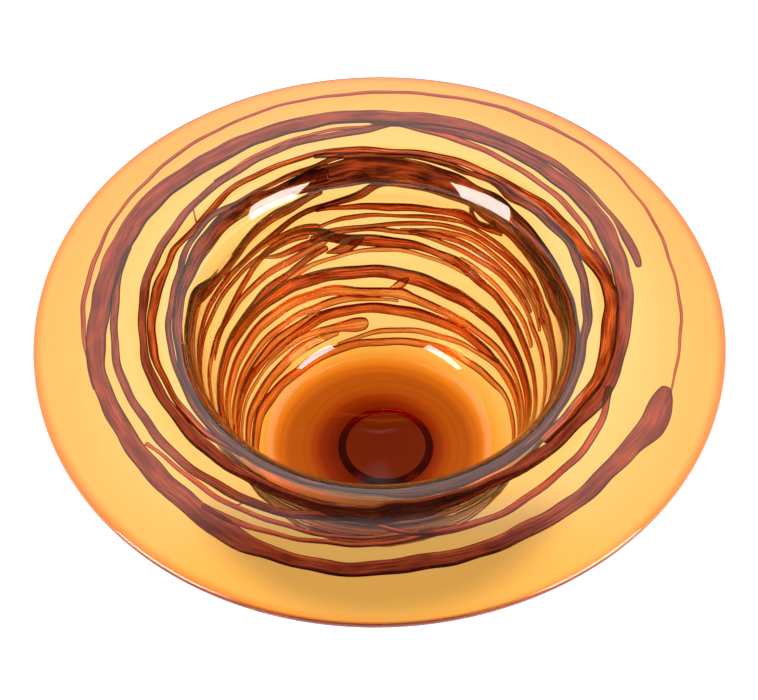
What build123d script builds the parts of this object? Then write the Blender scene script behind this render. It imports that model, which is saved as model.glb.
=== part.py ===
from build123d import *
import math
import os

os.makedirs("parts", exist_ok=True)

# An art glass bowl: one blown amber bowl with a wide drooping rim, and dark threads of hot glass
# trailed round its outside and fused to it. Lengths are in millimetres and angles in degrees.
# The origin is the middle of the flat foot that the bowl rests on, and +Z points up.

# ---- the bowl's driving dimensions ----
bowl_diameter = 330.0  # over the outer edge of the wide rim
bowl_height = 114.0  # from the table to the crest, the highest ring of the rim
foot_diameter = 100.0  # outer edge of the flat ring that the bowl rests on
pontil_diameter = 48.0  # ground and polished hollow in the middle of the foot
pontil_depth = 2.2
pontil_bevel = 4.5  # width of the sloping ring round the hollow
base_thickness = 10.0  # from the foot's plane to the middle of the cup's floor
floor_sag = 1.4  # how much lower the floor is where it turns up into the wall
floor_turn = 7.0  # how far outside the foot's edge that turn is
heel_diameter = 145.0  # outside, where the base turns up into the wall
heel_height = 24.0  # height of that turn
heel_thickness = 3.6
mouth_diameter = 177.0  # inside, at the narrow throat under the rim
neck_thickness = 2.8  # wall at the throat
bend_radius = 19.0  # inside radius of the bend from the cup to the rim
rim_thickness = 4.2  # at the rim's edge
rim_drop = 9.0  # how far the rim's edge hangs below the crest
rim_rounding = 1.6  # fire-polished edge

# ---- the threads' driving dimensions ----
flange_relief = 1.4  # a thread flattened under the rim stands this proud of the glass
wall_relief = 1.9  # a round thread on the cup's wall stands this proud
slimness = 0.5  # a narrow thread stands proud by at most this share of its width
bend_share = 66.0  # part of the run, in percent, beyond which the threads are flattened
section_step = 9.0  # degrees between two sections of a thread

# ---- the ways in which the glass runs, as (radius, height) directions ----
off_the_foot = (1, 0.06)  # outwards and hardly rising, where the foot's flat ends
up_the_wall = (0.18, 1)  # the cone that opens from the heel
down_to_the_rim = (1, -0.28)  # the slant on which the rim ends
up_the_rim = (-1, 0.28)
down_the_wall = (-0.18, -1)  # the same cone, followed downwards inside
straight_up = (0, 1)
straight_down = (0, -1)
outwards = (1, 0)
inwards = (-1, 0)

# ---- places that follow from the driving dimensions ----
rim_radius = bowl_diameter / 2
foot_radius = foot_diameter / 2
pontil_radius = pontil_diameter / 2
heel_radius = heel_diameter / 2
throat_radius = mouth_diameter / 2
neck_radius = throat_radius + neck_thickness
crest_radius = throat_radius + bend_radius
bend_height = bowl_height - bend_radius
under_bend_radius = crest_radius - neck_radius
edge_radius = rim_radius - rim_rounding
rim_top_height = bowl_height - rim_drop
rim_under_height = rim_top_height - rim_thickness
floor_edge_radius = heel_radius - heel_thickness
floor_edge_height = heel_height
dish_radius = foot_radius + floor_turn
dish_height = base_thickness - floor_sag

# ---- the outside of the bowl, drawn as radius and height ----
# It goes from the foot round the heel, up the wall, round the neck and out under the rim. Every
# thread lies along it, and a thread's place on it is a share of its run, from 0 to 100 percent.
with BuildLine() as outside:
    heel_turn = Spline(
        (foot_radius, 0),
        (heel_radius, heel_height),
        tangents=[off_the_foot, up_the_wall],
    )
    Spline(
        heel_turn @ 1,
        (neck_radius, bend_height),
        tangents=[up_the_wall, straight_up],
    )
    CenterArc((crest_radius, bend_height), under_bend_radius, 180, -90)
    Spline(
        (crest_radius, bend_height + under_bend_radius),
        (edge_radius, rim_under_height),
        tangents=[outwards, down_to_the_rim],
    )
outside_run = outside.wire()

# ---- the bowl itself: its section, turned round the upright axis ----
with BuildPart() as bowl_body:
    with BuildSketch(Plane.XZ):
        with BuildLine():
            # polished hollow with its sloping ring, and the flat that the bowl rests on
            Polyline(
                (0, pontil_depth),
                (pontil_radius - pontil_bevel, pontil_depth),
                (pontil_radius, 0),
                (foot_radius, 0),
            )
            add(outside.line)
            # fire-polished edge
            ThreePointArc(
                (edge_radius, rim_under_height),
                (rim_radius, rim_under_height + rim_thickness / 2),
                (edge_radius, rim_top_height),
            )
            # top of the rim, the bend down into the cup, its inside wall and its dished floor
            Spline(
                (edge_radius, rim_top_height),
                (crest_radius, bowl_height),
                tangents=[up_the_rim, inwards],
            )
            CenterArc((crest_radius, bend_height), bend_radius, 90, 90)
            Spline(
                (throat_radius, bend_height),
                (floor_edge_radius, floor_edge_height),
                tangents=[straight_down, down_the_wall],
            )
            Spline(
                (floor_edge_radius, floor_edge_height),
                (dish_radius, dish_height),
                (0, base_thickness),
                tangents=[down_the_wall, inwards],
            )
            Line((0, base_thickness), (0, pontil_depth))
        make_face()
    revolve(axis=Axis.Z)
bowl_body.part.label = "bowl_body"
export_step(bowl_body.part, "parts/bowl_body.step")
print("bowl_body", round(bowl_body.part.volume / 1000), "cm3")


# ---- how a thread is laid ----
def smooth_value(before, start, end, after, share):
    """A smooth curve from start to end whose slopes come from the neighbours on both sides."""
    start_slope = (end - before) / 2
    end_slope = (after - start) / 2
    rise = end - start
    bend_in = 3 * rise - 2 * start_slope - end_slope
    bend_out = start_slope + end_slope - 2 * rise
    return start + share * (start_slope + share * (bend_in + share * bend_out))


def thread_sections(stations):
    """Evenly stepped (angle, place, width) values on a smooth curve through the hand-set ones."""
    sections = []
    for index in range(len(stations) - 1):
        start = stations[index]
        end = stations[index + 1]
        before = stations[max(index - 1, 0)]
        after = stations[min(index + 2, len(stations) - 1)]
        steps = max(1, math.ceil((end[0] - start[0]) / section_step))
        for step in range(steps):
            share = step / steps
            angle = start[0] + (end[0] - start[0]) * share
            place = smooth_value(before[1], start[1], end[1], after[1], share)
            width = start[2] + (end[2] - start[2]) * share
            sections.append((angle, place, width))
    sections.append(stations[-1])
    return sections


def wall_point(angle, place):
    """The point on the outside at this angle and share of the run, and the outward direction."""
    flat_point = outside_run.position_at(place / 100)
    flat_tangent = outside_run.tangent_at(place / 100)
    cosine = math.cos(math.radians(angle))
    sine = math.sin(math.radians(angle))
    point = Vector(flat_point.X * cosine, flat_point.X * sine, flat_point.Y)
    outward = Vector(flat_tangent.Y * cosine, flat_tangent.Y * sine, -flat_tangent.X)
    return point, outward


def lay_thread(name, stations):
    """Loft a thread of oval sections along the wall, then take away the half inside the bowl."""
    sections = thread_sections(stations)
    points = [wall_point(angle, place) for angle, place, width in sections]
    with BuildPart() as thread:
        for index, (angle, place, width) in enumerate(sections):
            point, outward = points[index]
            ahead = points[min(index + 1, len(points) - 1)][0]
            behind = points[max(index - 1, 0)][0]
            along = ahead - behind
            along = along - outward * along.dot(outward)
            relief = flange_relief if place > bend_share else wall_relief
            relief = min(relief, slimness * width)
            section_plane = Plane(origin=point, x_dir=outward.cross(along), z_dir=along)
            with BuildSketch(section_plane):
                Ellipse(width / 2, relief)
        loft()
        add(bowl_body.part, mode=Mode.SUBTRACT)
    # a thread that thins out can leave a grain of itself on the far side of the wall
    whole = max(thread.part.solids(), key=lambda solid: solid.volume)
    whole.label = name
    export_step(whole, f"parts/{name}.step")
    print(name, len(sections), "sections", round(whole.volume), "mm3")


# ---- the threads' routes ----
# Each station is (angle round the bowl, share of the run from the foot to the rim's edge in
# percent, width in mm). The routes were chosen by hand, and threads that run into each other on
# the real glass stop a little short of each other here.
routes = {
    # hair-thin outermost thread, drawn off the broad one's blunt end
    "rim_hair_trail": [
        (-13, 88.4, 1.2), (0, 89.1, 1.6), (20, 91.2, 1.8), (35, 93.1, 2.0), (48, 94.6, 2.1),
        (60, 94.9, 2.1), (75, 94.3, 2.1), (92, 93.5, 2.2), (110, 93.0, 2.1), (130, 91.7, 2.1),
        (150, 90.2, 2.0), (168, 88.9, 2.0), (180, 87.9, 1.8), (185, 87.6, 1.2),
    ],
    # broad ribbon under the rim, first half: from its tongue, round the back, to the left
    "rim_broad_trail": [
        (15, 81.6, 3.2), (20, 81.7, 5.0), (26, 81.9, 4.6), (34, 82.3, 3.6), (45, 82.6, 4.6),
        (60, 82.9, 5.4), (72, 83.1, 6.2), (82, 82.8, 7.6), (90, 82.2, 9.4), (100, 82.7, 11.0),
        (115, 82.8, 11.4), (130, 83.0, 11.8), (145, 84.1, 12.2), (160, 84.0, 11.6),
        (170, 83.6, 10.6), (177, 83.9, 9.8),
    ],
    # the ribbon's second half, from there to its blunt end
    "rim_blunt_trail": [
        (179, 84.0, 9.6), (190, 84.6, 9.0), (200, 84.4, 8.4),
        (212, 83.9, 8.8), (222, 84.1, 8.8), (232, 84.9, 8.6), (240, 85.9, 8.4),
        (250, 86.7, 6.8), (262, 86.7, 6.8), (272, 86.0, 8.0), (285, 85.4, 7.6),
        (300, 85.1, 7.6), (315, 84.9, 7.8), (327, 85.6, 9.6), (334, 86.5, 12.0),
        (339, 87.0, 11.4), (342, 87.1, 9.0),
    ],
    # ribbon that climbs from the neck, one whole turn, on to the underside of the rim
    "neck_rising_trail": [
        (-271, 77.9, 2.0), (-267, 76.9, 4.0), (-260, 76.1, 4.2), (-250, 75.6, 3.8),
        (-240, 75.2, 4.0), (-230, 74.6, 4.4), (-220, 74.1, 4.4), (-210, 73.8, 4.6),
        (-200, 73.5, 4.8), (-190, 73.2, 4.6), (-180, 72.8, 4.2), (-170, 72.7, 3.8),
        (-160, 72.3, 4.4), (-150, 71.8, 5.4), (-140, 71.3, 5.6), (-130, 71.2, 5.6),
        (-120, 71.3, 5.4), (-110, 71.5, 5.4), (-103, 71.8, 6.4), (-97, 72.4, 8.0),
        (-90, 72.7, 9.6), (-82, 71.9, 8.6), (-72, 71.1, 6.4), (-60, 70.9, 5.2),
        (-50, 70.9, 5.2), (-40, 71.4, 5.2), (-30, 72.1, 5.4), (-20, 73.2, 6.0),
        (-10, 74.0, 6.4), (0, 74.9, 7.4), (10, 76.0, 8.2), (20, 77.3, 8.6), (30, 78.1, 8.8),
        (40, 78.5, 8.2), (50, 78.8, 7.6), (60, 79.0, 7.4), (70, 79.2, 6.6), (78, 79.4, 5.4),
        (83, 79.3, 3.6), (87, 79.0, 2.0),
    ],
    "right_branch_trail": [
        (15, 73.1, 1.8), (20, 73.4, 2.8), (30, 73.6, 3.0), (40, 74.1, 3.2), (50, 74.7, 3.0),
        (60, 75.3, 3.2), (68, 76.0, 3.2), (74, 76.7, 2.8), (78, 77.2, 1.8),
    ],
    "left_branch_trail": [
        (240, 82.3, 1.8), (246, 81.9, 2.6), (255, 81.3, 2.8), (265, 80.5, 2.6),
        (272, 79.9, 2.6), (280, 79.2, 3.2), (290, 78.9, 3.6), (300, 78.3, 3.3),
        (310, 77.5, 3.2), (320, 76.8, 3.4), (328, 76.3, 3.2), (332, 75.7, 2.6),
        (334, 75.2, 1.8),
    ],
    "left_fine_trail": [
        (218, 80.3, 1.2), (224, 79.7, 2.4), (232, 79.2, 2.4), (245, 79.0, 2.4),
        (258, 79.0, 2.2), (266, 78.8, 2.0), (272, 78.5, 1.4),
    ],
    "left_long_trail": [
        (172, 80.0, 2.2), (178, 80.0, 3.4), (190, 79.6, 3.9), (200, 79.0, 4.0),
        (210, 78.3, 4.2), (220, 77.6, 4.2), (230, 77.1, 4.2), (240, 76.4, 4.2),
        (250, 75.6, 3.8), (255, 75.0, 2.8),
    ],
    "back_parallel_trail": [
        (95, 78.2, 1.0), (102, 77.9, 1.8), (112, 77.4, 1.8), (120, 76.9, 1.6), (126, 76.5, 1.0),
    ],
    # threads round the tight bend of the neck
    "neck_upper_trail": [
        (-36, 69.0, 3.0), (-28, 69.3, 4.4), (-20, 70.2, 4.6), (-10, 70.5, 5.6), (0, 71.2, 5.6),
        (8, 71.7, 4.6), (15, 71.2, 4.4), (22, 70.2, 5.0), (30, 69.7, 4.6), (40, 69.3, 4.2),
        (50, 68.9, 3.4), (60, 69.1, 3.4), (75, 69.2, 3.4), (90, 69.3, 3.4), (98, 69.8, 3.6),
        (108, 70.3, 3.0), (120, 70.4, 2.8), (132, 70.4, 2.8), (140, 69.8, 2.8),
        (148, 69.4, 3.2), (158, 69.9, 3.6), (170, 70.1, 3.8), (180, 70.3, 3.6),
        (192, 70.2, 3.4), (203, 69.6, 2.8), (213, 68.9, 2.8), (222, 68.1, 2.0),
    ],
    "neck_ring_trail": [
        (-256, 67.8, 1.6), (-250, 66.9, 3.2), (-240, 66.0, 3.2), (-230, 66.0, 3.2),
        (-222, 66.6, 3.4), (-210, 67.0, 3.4), (-195, 66.7, 3.4), (-180, 66.2, 3.4),
        (-165, 66.2, 3.4), (-150, 66.2, 3.4), (-138, 66.4, 3.2), (-125, 66.0, 3.8),
        (-110, 65.8, 4.0), (-90, 66.0, 4.0), (-70, 66.6, 4.0), (-52, 66.9, 4.0),
        (-40, 66.3, 3.6), (-30, 65.6, 3.6), (-15, 65.1, 3.6), (-6, 65.1, 3.4), (0, 65.9, 3.8),
        (10, 66.5, 3.8), (19, 66.9, 3.4), (30, 67.3, 2.6), (40, 67.0, 2.6), (50, 66.2, 2.6),
        (58, 67.0, 2.6), (70, 67.3, 2.6), (85, 67.4, 2.6), (95, 67.6, 2.4), (101, 67.9, 1.4),
    ],
    "neck_band_trail": [
        (-250, 63.4, 5.0), (-240, 63.3, 4.6), (-230, 63.6, 4.4), (-220, 64.2, 4.6),
        (-205, 64.2, 4.8), (-190, 63.9, 4.8), (-170, 63.5, 5.0), (-150, 63.2, 5.4),
        (-120, 62.9, 5.4), (-90, 62.8, 5.6), (-60, 63.2, 5.6), (-40, 63.3, 5.2),
        (-15, 62.4, 5.0), (0, 61.8, 5.4), (15, 61.0, 5.6), (30, 61.2, 6.2), (45, 62.0, 7.2),
        (60, 62.8, 7.6), (75, 63.4, 8.6), (90, 63.6, 9.0), (100, 63.5, 7.6), (103, 63.5, 5.6),
    ],
    "neck_dip_trail": [
        (111, 60.0, 2.0), (118, 58.8, 4.0), (126, 58.2, 4.6), (133, 57.2, 4.6),
        (138, 55.6, 4.2), (144, 54.4, 4.2), (151, 54.2, 4.2), (158, 55.5, 4.0),
        (163, 57.5, 3.6), (170, 59.3, 3.6), (190, 59.6, 4.0), (220, 59.6, 4.4),
        (238, 59.4, 3.0),
    ],
    "neck_under_trail": [
        (242, 59.4, 3.0), (260, 59.2, 4.4), (300, 58.8, 4.4), (340, 58.0, 4.8), (370, 56.8, 5.4),
        (382, 57.0, 5.0), (395, 58.0, 4.2), (408, 58.9, 3.0), (420, 59.7, 2.4),
        (435, 60.1, 2.0), (445, 60.2, 2.0), (451, 59.5, 2.6), (457, 57.4, 2.8),
        (464, 56.3, 3.0), (472, 55.4, 3.0), (479, 54.4, 3.0), (487, 53.2, 2.8),
        (494, 52.6, 2.2), (498, 52.3, 1.6),
    ],
    # threads on the cup's wall, from the neck down to the heel
    "wall_upper_trail": [
        (-248, 48.9, 2.4), (-235, 50.2, 3.4), (-220, 50.3, 3.4), (-200, 50.0, 3.6),
        (-150, 49.5, 4.0), (-100, 49.0, 4.0), (-50, 48.0, 4.0), (0, 46.2, 4.0), (20, 47.0, 4.0),
        (30, 49.4, 4.0), (40, 50.8, 3.6), (50, 51.4, 3.2), (60, 51.8, 3.0), (68, 51.3, 3.0),
        (76, 50.4, 3.0), (84, 49.6, 2.8), (92, 49.3, 2.6), (100, 48.9, 2.6), (106, 48.6, 1.8),
    ],
    "wall_second_trail": [
        (-244, 47.0, 2.0), (-230, 48.0, 3.0), (-215, 47.9, 3.0), (-195, 47.6, 3.2),
        (-150, 47.0, 3.4), (-100, 46.5, 3.4), (-50, 45.6, 3.4), (0, 43.7, 3.6), (20, 44.4, 3.6),
        (30, 46.8, 3.6), (40, 48.3, 3.4), (50, 49.1, 3.2), (60, 49.6, 3.0), (70, 49.0, 3.0),
        (78, 48.0, 3.0), (86, 47.1, 2.8), (94, 46.7, 2.6), (103, 46.6, 2.2), (109, 46.8, 1.4),
    ],
    "wall_third_trail": [
        (22, 42.2, 1.8), (30, 44.5, 2.6), (40, 46.1, 2.6), (50, 47.0, 2.4), (60, 47.6, 2.4),
        (68, 47.2, 2.0), (74, 46.6, 1.4),
    ],
    "wall_curl_trail": [
        (53, 55.2, 2.2), (58, 54.4, 3.4), (66, 54.0, 3.2), (75, 53.7, 3.2), (84, 53.1, 3.4),
        (94, 52.8, 3.4), (101, 52.8, 2.8), (107, 52.3, 1.8),
    ],
    "wall_middle_trail": [
        (32, 42.6, 1.4), (37, 43.6, 2.4), (45, 44.5, 2.6), (54, 45.0, 2.8), (64, 45.2, 2.8),
        (74, 45.0, 2.8), (84, 45.0, 2.6), (94, 45.0, 2.4), (102, 44.9, 1.8),
    ],
    "wall_crossing_trail": [
        (-250, 43.6, 2.0), (-244, 42.3, 3.2), (-232, 41.3, 3.6), (-215, 40.7, 3.8),
        (-195, 40.5, 3.8), (-150, 40.0, 4.0), (-100, 39.4, 4.0), (-50, 38.6, 4.0),
        (0, 37.6, 3.6), (20, 38.5, 3.4), (30, 40.4, 3.2), (40, 41.8, 3.0), (50, 42.6, 2.8),
        (60, 43.1, 2.6), (70, 43.4, 2.0), (78, 43.6, 1.4),
    ],
    "wall_slip_trail": [
        (20, 35.6, 1.6), (26, 36.6, 2.6), (34, 37.9, 2.8), (42, 38.9, 2.6), (49, 39.8, 2.0),
        (53, 40.4, 1.2),
    ],
    # the broadest thread on the wall, and the one that climbs on from its end to the knots
    "wall_broad_trail": [
        (-20, 24.8, 4.4), (0, 25.5, 6.0), (20, 26.6, 6.6), (30, 27.6, 6.8), (40, 28.3, 6.8),
        (50, 28.9, 6.8), (60, 29.5, 7.0), (70, 30.1, 7.0), (78, 30.5, 6.0), (86, 31.1, 5.4),
        (95, 31.8, 5.8), (105, 32.3, 6.2), (115, 32.8, 6.6), (125, 33.2, 6.8), (135, 33.6, 7.0),
        (150, 33.6, 6.6), (165, 33.2, 6.0), (200, 32.5, 5.6), (250, 32.0, 5.0),
        (300, 31.2, 4.0), (332, 30.9, 2.6),
    ],
    "wall_climbing_trail": [
        (-25, 30.9, 2.6), (-12, 30.9, 4.0), (0, 31.2, 4.0), (20, 32.4, 4.0), (30, 33.5, 4.4),
        (40, 35.3, 4.4), (50, 36.8, 4.6), (57, 38.2, 4.6), (65, 39.5, 4.6), (75, 40.4, 4.6),
        (85, 40.9, 4.6), (95, 41.4, 4.4), (101, 42.2, 3.4), (106, 43.0, 2.0),
    ],
    "wall_knot_trail": [
        (112, 40.8, 2.4), (118, 39.0, 3.4), (127, 37.5, 3.4), (134, 36.9, 3.0), (141, 36.4, 1.6),
    ],
    "wall_parallel_trail": [
        (68, 37.8, 1.2), (76, 38.3, 2.0), (86, 38.6, 2.2), (96, 38.5, 2.2), (106, 37.9, 2.2),
        (115, 37.2, 2.0), (122, 36.2, 1.6),
    ],
    # two turns of a rising spiral, from the heel to the middle of the wall
    "wall_heel_trail": [
        (33, 19.1, 1.8), (40, 18.8, 4.2), (50, 18.7, 5.6), (60, 18.7, 6.0), (70, 18.9, 6.4),
        (80, 19.2, 6.6), (90, 19.4, 6.8), (100, 19.5, 6.8), (110, 19.7, 6.6), (118, 19.4, 6.4),
        (126, 18.9, 6.4), (136, 18.5, 6.2), (150, 18.4, 6.0), (165, 18.6, 5.6),
        (200, 19.0, 5.0), (250, 19.6, 4.6), (300, 20.4, 4.2), (335, 21.1, 2.6),
    ],
    "wall_swelling_trail": [
        (-20, 21.3, 2.4), (0, 21.8, 3.4), (20, 22.4, 2.8), (30, 22.7, 3.4), (40, 22.6, 3.8),
        (50, 22.2, 4.4), (60, 22.5, 4.8), (70, 23.2, 4.8), (80, 24.4, 4.6), (90, 25.2, 4.8),
        (100, 25.8, 5.0), (110, 27.4, 5.2), (120, 28.3, 5.4), (130, 28.6, 5.8),
        (145, 28.2, 6.0), (160, 27.6, 6.0), (200, 27.0, 5.2), (250, 27.4, 4.6),
        (300, 27.8, 3.4), (330, 28.0, 2.0),
    ],
    "wall_light_trail": [
        (98, 23.2, 1.6), (106, 23.5, 2.2), (114, 24.1, 2.4), (122, 23.9, 3.0), (132, 23.8, 3.6),
        (145, 23.3, 3.8), (160, 22.8, 3.8), (200, 22.5, 3.6), (250, 22.7, 3.2), (290, 22.9, 2.4),
        (310, 23.0, 1.6),
    ],
    # the first thread, from the blob where the gather touched down
    "start_trail": [
        (96, 14.2, 4.6), (100, 14.4, 6.6), (106, 14.6, 6.4), (113, 14.8, 5.4), (122, 15.4, 4.2),
        (135, 15.6, 4.0), (160, 15.6, 4.0), (200, 15.6, 4.0), (250, 15.9, 4.0),
        (300, 17.0, 4.0), (340, 18.0, 4.4), (360, 18.2, 5.0), (380, 18.3, 5.4),
        (388, 17.9, 4.4), (395, 16.8, 3.4), (402, 15.8, 3.2), (415, 14.7, 3.4),
        (430, 13.4, 3.4), (445, 12.0, 3.2), (457, 11.0, 2.4), (463, 10.6, 1.4),
    ],
    "low_parallel_trail": [
        (118, 13.4, 1.4), (125, 12.8, 3.4), (135, 12.3, 3.8), (150, 12.0, 4.0),
        (165, 11.9, 4.0), (200, 12.4, 3.2), (235, 13.2, 1.6),
    ],
    "lowest_trail": [
        (-90, 13.8, 1.8), (-60, 14.0, 3.2), (-30, 14.2, 3.6), (0, 13.9, 3.8), (20, 13.3, 3.8),
        (40, 11.7, 3.8), (60, 10.4, 3.8), (80, 9.3, 4.0), (100, 8.4, 4.6), (120, 7.8, 5.0),
        (145, 7.8, 5.4), (165, 8.5, 5.0), (200, 9.4, 4.6), (240, 10.6, 4.0), (280, 11.2, 3.0),
        (310, 11.6, 1.6),
    ],
}

for name, stations in routes.items():
    lay_thread(name, stations)
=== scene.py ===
# %% [markdown]
# # A blown amber bowl wound with dark glass threads
#
# The bowl is one piece of clear amber glass: a thick foot, a cup, a tight neck and a wide rim that
# droops a little. A glassworker trailed threads of dark red-brown glass round its outside while it
# was hot, so they are fused to it, flattened under the rim and round on the cup.
#
# The measured model is loaded first as a fixed frame. Every visible piece below is built in metres
# in that same frame, and the bowl and each laid thread hide the plain solid they take the place of.

# %% The frame
import math

import bpy
import mathutils
import numpy as np
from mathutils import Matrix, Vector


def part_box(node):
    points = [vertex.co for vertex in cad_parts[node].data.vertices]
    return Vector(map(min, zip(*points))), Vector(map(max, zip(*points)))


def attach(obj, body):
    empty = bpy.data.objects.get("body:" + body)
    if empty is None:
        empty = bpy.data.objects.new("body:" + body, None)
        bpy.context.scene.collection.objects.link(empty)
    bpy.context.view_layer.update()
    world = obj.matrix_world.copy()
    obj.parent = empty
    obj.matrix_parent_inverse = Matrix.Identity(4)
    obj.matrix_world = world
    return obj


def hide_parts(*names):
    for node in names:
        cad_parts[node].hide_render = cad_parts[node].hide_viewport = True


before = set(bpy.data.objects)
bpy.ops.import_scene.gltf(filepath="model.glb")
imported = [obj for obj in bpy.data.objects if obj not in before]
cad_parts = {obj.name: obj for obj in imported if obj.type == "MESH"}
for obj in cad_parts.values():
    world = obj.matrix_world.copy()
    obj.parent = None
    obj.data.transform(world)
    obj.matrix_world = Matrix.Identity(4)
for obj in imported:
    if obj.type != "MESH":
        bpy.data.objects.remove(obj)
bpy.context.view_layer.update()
print("frame:", len(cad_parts), "solids")

# %% [markdown]
# ## The bowl's outline
#
# A round vessel is easiest to say as one outline, given as radius and height, and turned round the
# upright axis. The outside of this bowl is a soft curve from the foot to the neck, an arc round the
# neck and a long flat curve out under the rim. The inside follows it at the glass's thickness. The
# widest and highest sizes come from the frame, and the rest are the bowl's own sizes.

# %% Sizes of the bowl
lowest_corner, highest_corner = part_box("bowl_body")
rim_radius = highest_corner.x
bowl_height = highest_corner.z
foot_radius = 0.050
pontil_radius = 0.024  # ground and polished hollow under the foot
pontil_shift = 0.0034  # it was ground by hand, this far to +X of the middle
pontil_depth = 0.0022
pontil_bevel = 0.0045
# The turning rings are drawn as painted shade rings in the foot's colour, standing in for light bent by
# faint ridges.
ring_spacing = 0.0045  # between the faint turning rings round the pontil
base_thickness = 0.010
floor_sag = 0.0014  # how much lower the floor is where it turns up into the wall
floor_turn = 0.007  # how far outside the foot's edge that turn is
heel_radius = 0.0725
heel_height = 0.024
heel_thickness = 0.0036
throat_radius = 0.0885
neck_thickness = 0.0028
bend_radius = 0.019
rim_thickness = 0.0042
rim_drop = 0.009
rim_rounding = 0.0016

neck_radius = throat_radius + neck_thickness
crest_radius = throat_radius + bend_radius
bend_height = bowl_height - bend_radius
under_bend_radius = crest_radius - neck_radius
edge_radius = rim_radius - rim_rounding
rim_top_height = bowl_height - rim_drop
rim_under_height = rim_top_height - rim_thickness

# %% [markdown]
# ## Curves
#
# Two kinds of curve say the whole outline: a cubic with a pull at each end, and a round arc.

# %% Curves of the outline
def flowing_curve(start, start_pull, end, end_pull, count):
    """Points on a cubic curve. Each pull is the tangent at that end: start and end are blended by
    2t^3-3t^2, and the pulls by t^3-2t^2+t and t^3-t^2."""
    t = np.linspace(0, 1, count)[:, None]
    start, start_pull, end, end_pull = map(np.asarray, (start, start_pull, end, end_pull))
    ends = (2 * t**3 - 3 * t**2 + 1) * start + (3 * t**2 - 2 * t**3) * end
    return ends + (t**3 - 2 * t**2 + t) * start_pull + (t**3 - t**2) * end_pull


def round_arc(centre, radius, from_degrees, to_degrees, count):
    """Points on a circle's arc: centre + radius * (cos, sin)."""
    turn = np.radians(np.linspace(from_degrees, to_degrees, count))
    return np.c_[centre[0] + radius * np.cos(turn), centre[1] + radius * np.sin(turn)]


def joined(*stretches):
    """One outline from several stretches, without the doubled points where they meet."""
    return np.vstack([stretches[0]] + [stretch[1:] for stretch in stretches[1:]])


outside = joined(
    flowing_curve((foot_radius, 0), (0.030, 0.001), (heel_radius, heel_height), (0.005, 0.028), 60),
    flowing_curve((heel_radius, heel_height), (0.012, 0.067), (neck_radius, bend_height), (0, 0.062), 100),
    round_arc((crest_radius, bend_height), under_bend_radius, 180, 90, 50),
    flowing_curve((crest_radius, bend_height + under_bend_radius), (0.055, 0),
                  (edge_radius, rim_under_height), (0.055, -0.0154), 100),
)
run_lengths = np.r_[0, np.cumsum(np.hypot(*np.diff(outside, axis=0).T))]
run_length = run_lengths[-1]
print("run from the foot to the rim's edge:", round(run_length * 1000, 1), "mm")

# %% [markdown]
# ## The hand in it
#
# A blown bowl is never a perfect figure of revolution: the rim's outline wavers by a millimetre and
# the faces undulate by a few hundredths, which makes reflections swim. Smooth waves with
# fixed phases do that, and they are the same in every run.

# %% The maker's hand
def waver(angle, sizes, phases):
    """A sum of slow waves round the bowl: size_k * sin(k * angle + phase_k), k = 2, 3, 4..."""
    orders = np.arange(2, 2 + len(sizes))[:, None]
    waves = np.sin(orders * np.ravel(angle)[None, :] + np.asarray(phases)[:, None])
    return (np.asarray(sizes)[:, None] * waves).sum(0).reshape(np.shape(angle))


def by_hand(radius, angle, height):
    """Moves ideal points as a hand-blown wall departs from them, more at the rim than at the foot."""
    reach = np.clip((radius - foot_radius) / (rim_radius - foot_radius), 0, 1)
    rim_waver = waver(angle, (0.0005, 0.0003, 0.0002), (0.4, 2.1, 4.0))
    lift = waver(angle, (0.0007, 0.0003), (1.2, 0.3)) * reach**2
    radius = radius + rim_waver * reach**2
    return np.stack([radius * np.cos(angle), radius * np.sin(angle), height + lift - 0.0006 * reach**2], -1)


# %% [markdown]
# ## A mesh from a grid
#
# Every surface here is a grid of points worked out at once with numpy. Quads join neighbouring
# points. A bowl closes on itself round the axis and ends in one point at each pole, and a thread
# closes round its own section, so one helper makes both.

# %% Grid to mesh
def grid_mesh(name, points, start_pole, end_pole, uv=None):
    """A closed mesh from points[rows, columns]: columns wrap round, and the first and last rows are
    closed by a fan to a pole. uv[rows, columns + 1] is in metres along and across."""
    rows, columns = points.shape[:2]
    vertices = np.vstack([points.reshape(-1, 3), [start_pole], [end_pole]])
    row, column = np.meshgrid(np.arange(rows - 1), np.arange(columns), indexing="ij")
    after = (column + 1) % columns
    quads = np.stack([row * columns + column, row * columns + after,
                      (row + 1) * columns + after, (row + 1) * columns + column], -1).reshape(-1, 4)
    ring = np.arange(columns)
    following = (ring + 1) % columns
    first_fan = np.stack([following, ring, np.full(columns, rows * columns)], -1)
    last_row = (rows - 1) * columns
    last_fan = np.stack([last_row + ring, last_row + following, np.full(columns, rows * columns + 1)], -1)
    mesh = bpy.data.meshes.new(name)
    mesh.from_pydata(vertices.tolist(), [], quads.tolist() + first_fan.tolist() + last_fan.tolist())
    mesh.polygons.foreach_set("use_smooth", np.ones(len(mesh.polygons), bool))
    if uv is not None:
        corners = [uv[row, column], uv[row, column + 1], uv[row + 1, column + 1], uv[row + 1, column]]
        quad_uv = np.stack(corners, -2).reshape(-1, 2)
        first_uv = np.stack([uv[0, ring + 1], uv[0, ring], uv[0, ring]], -2).reshape(-1, 2)
        last_uv = np.stack([uv[-1, ring], uv[-1, ring + 1], uv[-1, ring]], -2).reshape(-1, 2)
        layer = mesh.uv_layers.new(name="UVMap")
        layer.data.foreach_set("uv", np.vstack([quad_uv, first_uv, last_uv]).ravel())
    mesh.update()
    piece = bpy.data.objects.new(name, mesh)
    bpy.context.scene.collection.objects.link(piece)
    return piece


# %% [markdown]
# ## The bowl
#
# One closed outline runs from the hollow under the foot, up the outside, round the rim's edge and
# down the inside to the middle of the floor. It is turned round the axis, and the hollow is moved
# aside a little, as it was ground by hand.

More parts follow.
